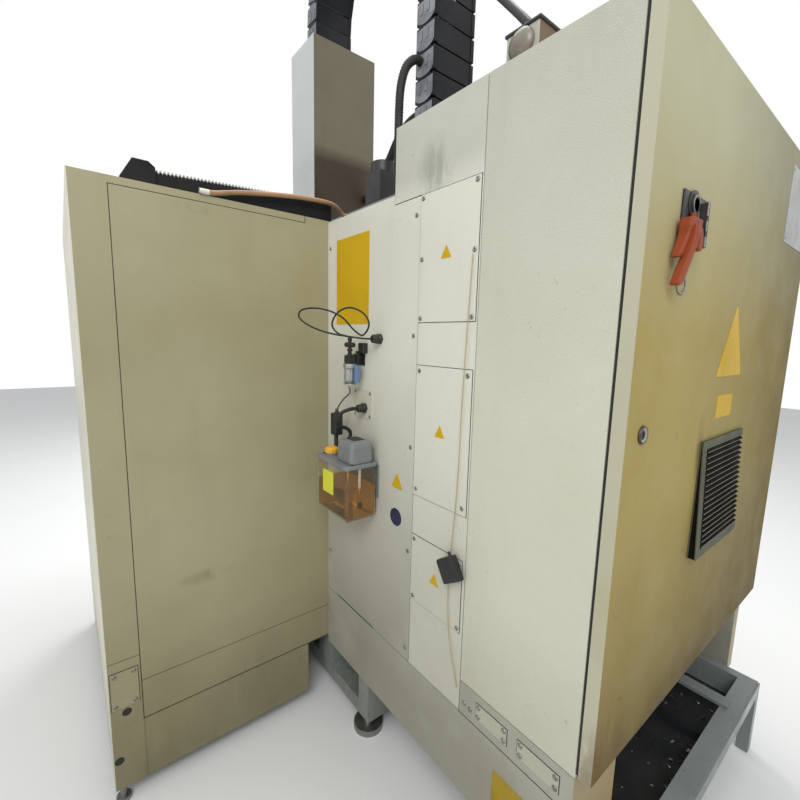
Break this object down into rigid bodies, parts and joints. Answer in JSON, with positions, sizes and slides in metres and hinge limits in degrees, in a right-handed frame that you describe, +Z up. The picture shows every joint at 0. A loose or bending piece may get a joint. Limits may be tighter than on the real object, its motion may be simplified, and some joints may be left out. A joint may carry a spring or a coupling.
{
  "type": "cnc machining center",
  "caption": "Vertical machining centre with a sliding-door enclosure, moving-table axes, head cover with cable chain, tool magazine and a rear electrical cabinet.",
  "frame": {"origin": "on the floor under the middle of the machine's outline", "axes": "+Z up, the doors and the pendant face -Y, the electrical cabinet is at +Y, +X to the operator's right"},
  "size_m": [2.38, 2.78, 3.6637],
  "materials": {
    "casting": "painted, satin",
    "steel": "ground",
    "dark_motor": "satin",
    "cream_paint": "textured paint, stained",
    "pale_paint": "textured paint, worn",
    "yellowed_paint": "yellowed textured paint with streaks",
    "grey_steel": "satin",
    "black_plastic": "matt",
    "black_rubber": "matt",
    "window": "laminated glass",
    "rusty_grille": "dark paint with rusty edges",
    "red_plastic": "satin",
    "green_plastic": "satin",
    "oil_plastic": "translucent tank with oil",
    "grey_plastic": "satin",
    "orange_plastic": "satin"
  },
  "bodies": {
    "root": {"base_casting": "casting", "column": "casting", "levelling_feet": "steel", "guide_rails": "steel", "servo_motors": "dark_motor", "enclosure_frame": "grey_steel", "side_walls": "cream_paint", "wing_walls": "cream_paint", "wing_panel": "cream_paint", "front_panels": "cream_paint", "door_rails": "steel", "roof_sheets": "cream_paint", "roof_bellows": "black_plastic", "cabinet_box": "pale_paint", "access_strip": "pale_paint", "side_sheet": "pale_paint", "lower_sheet": "pale_paint", "access_covers": "pale_paint", "panel_screws": "grey_steel", "door_hinges": "grey_steel", "cabinet_modules": "grey_steel", "oil_tank": "oil_plastic", "oil_pump": "grey_plastic", "air_regulator": "grey_plastic", "cable_glands": "black_plastic", "hoses": "black_rubber", "wiring_boxes": "black_plastic", "coolant_tank": "grey_steel", "chip_pans": "grey_steel", "pendant_arm": "grey_steel", "cable_chain": "black_plastic"},
    "saddle": {"saddle": "casting", "x_rails": "steel"},
    "table": {"table": "steel"},
    "x_screw": {"x_screw": "steel"},
    "y_screw": {"y_screw": "steel"},
    "z_screw": {"z_screw": "steel"},
    "head": {"head_casting": "casting", "spindle_cartridge": "steel", "spindle_motor": "dark_motor", "head_tower": "cream_paint"},
    "spindle": {"spindle": "steel"},
    "magazine": {"magazine_carriage": "grey_steel"},
    "magazine_disc": {"magazine_disc": "grey_steel"},
    "front_door_left": {"front_door_left": "cream_paint", "window_left": "window"},
    "front_door_right": {"front_door_right": "cream_paint", "window_right": "window"},
    "cabinet_door": {"cabinet_door": "yellowed_paint", "door_seal": "black_rubber", "louvre_grille": "rusty_grille", "switch_plate": "black_plastic"},
    "fan_rotor": {"fan_rotor": "black_plastic"},
    "switch_handle": {"switch_handle": "red_plastic"},
    "door_lock": {"door_lock": "black_plastic"},
    "oil_cap": {"oil_cap": "orange_plastic"},
    "pendant": {"pendant_box": "cream_paint"},
    "e_stop": {"e_stop": "red_plastic"},
    "start_button": {"start_button": "green_plastic"},
    "handwheel": {"handwheel": "black_plastic"}
  },
  "joints": [
    {"name": "y_axis", "type": "slide", "parent": "root", "child": "saddle", "axis": [0, 1, 0], "range_m": [-0.205, 0.205]},
    {"name": "x_axis", "type": "slide", "parent": "saddle", "child": "table", "axis": [1, 0, 0], "range_m": [-0.28, 0.28]},
    {"name": "z_axis", "type": "slide", "parent": "root", "child": "head", "axis": [0, 0, 1], "range_m": [-0.35, 0.1], "deforming": ["cable_chain"]},
    {"name": "x_screw_spin", "type": "hinge", "parent": "saddle", "child": "x_screw", "pos_m": [0, -0.51, 0.6403], "axis": [1, 0, 0], "range_deg": [-10100, 10100]},
    {"name": "y_screw_spin", "type": "hinge", "parent": "root", "child": "y_screw", "pos_m": [0, -0.51, 0.515], "axis": [0, 1, 0], "range_deg": [-7400, 7400]},
    {"name": "z_screw_spin", "type": "hinge", "parent": "root", "child": "z_screw", "pos_m": [0, -0.04, 1.6], "axis": [0, 0, 1], "range_deg": [-12620, 3620]},
    {"name": "spindle_spin", "type": "hinge", "parent": "head", "child": "spindle", "pos_m": [0, -0.51, 1.284], "axis": [0, 0, 1], "continuous": true},
    {"name": "magazine_slide", "type": "slide", "parent": "root", "child": "magazine", "axis": [1, 0, 0], "range_m": [0, 0.3]},
    {"name": "magazine_spin", "type": "hinge", "parent": "magazine", "child": "magazine_disc", "pos_m": [-0.54, -0.51, 1.246], "axis": [0, 0, 1], "continuous": true},
    {"name": "front_door_left_slide", "type": "slide", "parent": "root", "child": "front_door_left", "axis": [-1, 0, 0], "range_m": [0, 0.5]},
    {"name": "front_door_right_slide", "type": "slide", "parent": "root", "child": "front_door_right", "axis": [1, 0, 0], "range_m": [0, 0.5]},
    {"name": "cabinet_door_swing", "type": "hinge", "parent": "root", "child": "cabinet_door", "pos_m": [-0.926, 1.282, 1.4], "axis": [0, 0, 1], "range_deg": [0, 110]},
    {"name": "fan_spin", "type": "hinge", "parent": "cabinet_door", "child": "fan_rotor", "pos_m": [-0.2545, 1.29, 1.1775], "axis": [0, 1, 0], "continuous": true},
    {"name": "main_switch_turn", "type": "hinge", "parent": "cabinet_door", "child": "switch_handle", "pos_m": [0.179, 1.33, 1.88], "axis": [0, 1, 0], "range_deg": [0, 90]},
    {"name": "door_lock_turn", "type": "hinge", "parent": "cabinet_door", "child": "door_lock", "pos_m": [0.311, 1.315, 1.418], "axis": [0, 1, 0], "range_deg": [0, 90]},
    {"name": "oil_cap_turn", "type": "hinge", "parent": "root", "child": "oil_cap", "pos_m": [0.476, 0.329, 1.19], "axis": [0, 0, 1], "range_deg": [0, 360]},
    {"name": "pendant_swivel", "type": "hinge", "parent": "root", "child": "pendant", "pos_m": [1.12, -1.265, 1.7], "axis": [0, 0, 1], "range_deg": [0, 80]},
    {"name": "e_stop_push", "type": "slide", "parent": "pendant", "child": "e_stop", "axis": [0, 1, 0], "range_m": [0, 0.008], "stiffness_N_per_m": 2000},
    {"name": "start_button_push", "type": "slide", "parent": "pendant", "child": "start_button", "axis": [0, 1, 0], "range_m": [0, 0.005], "stiffness_N_per_m": 800},
    {"name": "handwheel_spin", "type": "hinge", "parent": "pendant", "child": "handwheel", "pos_m": [1.02, -1.365, 1.14], "axis": [0, 1, 0], "continuous": true}
  ],
  "couplings": [
    {"joint": "x_screw_spin", "follows": "x_axis", "rad_per_m": 628.32},
    {"joint": "y_screw_spin", "follows": "y_axis", "rad_per_m": 628.32},
    {"joint": "z_screw_spin", "follows": "z_axis", "rad_per_m": 628.32}
  ]
}
